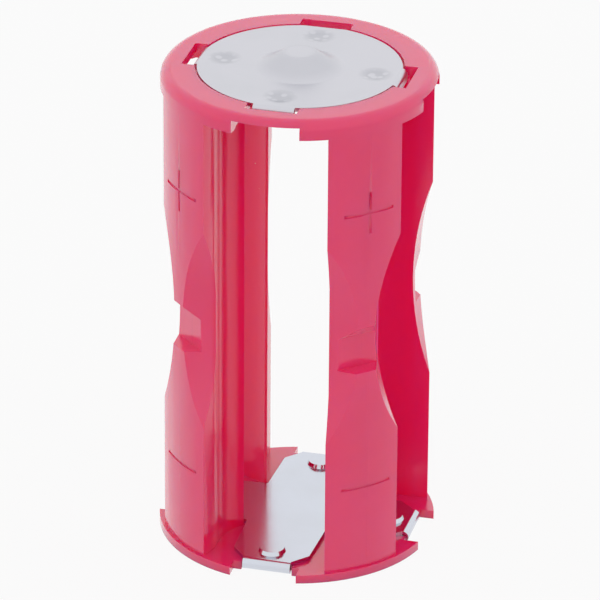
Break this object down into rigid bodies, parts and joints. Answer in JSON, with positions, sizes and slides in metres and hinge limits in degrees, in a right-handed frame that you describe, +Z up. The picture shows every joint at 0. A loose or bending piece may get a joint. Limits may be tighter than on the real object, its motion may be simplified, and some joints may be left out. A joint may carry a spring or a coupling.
{
  "type": "cylindrical cell holder",
  "caption": "Open round cage of moulded plastic that holds slim round cells side by side, with a raised terminal disc on top and a cross-shaped contact plate in its floor.",
  "frame": {"origin": "centre of the underside of the bottom flange, on the long axis", "axes": "+Z up the long axis, from the floor plate to the raised terminal; +X, +Y, -X and -Y each look out of the middle of one window"},
  "size_m": [0.0256, 0.0256, 0.0487],
  "materials": {
    "moulded_plastic": "glossy moulded polypropylene, slightly translucent",
    "plated_disc": "stamped sheet, satin nickel plate",
    "plated_plate": "stamped sheet, bright nickel plate"
  },
  "bodies": {
    "root": {"cell_frame": "moulded_plastic", "positive_contact": "plated_disc", "negative_contact": "plated_plate"}
  },
  "joints": []
}
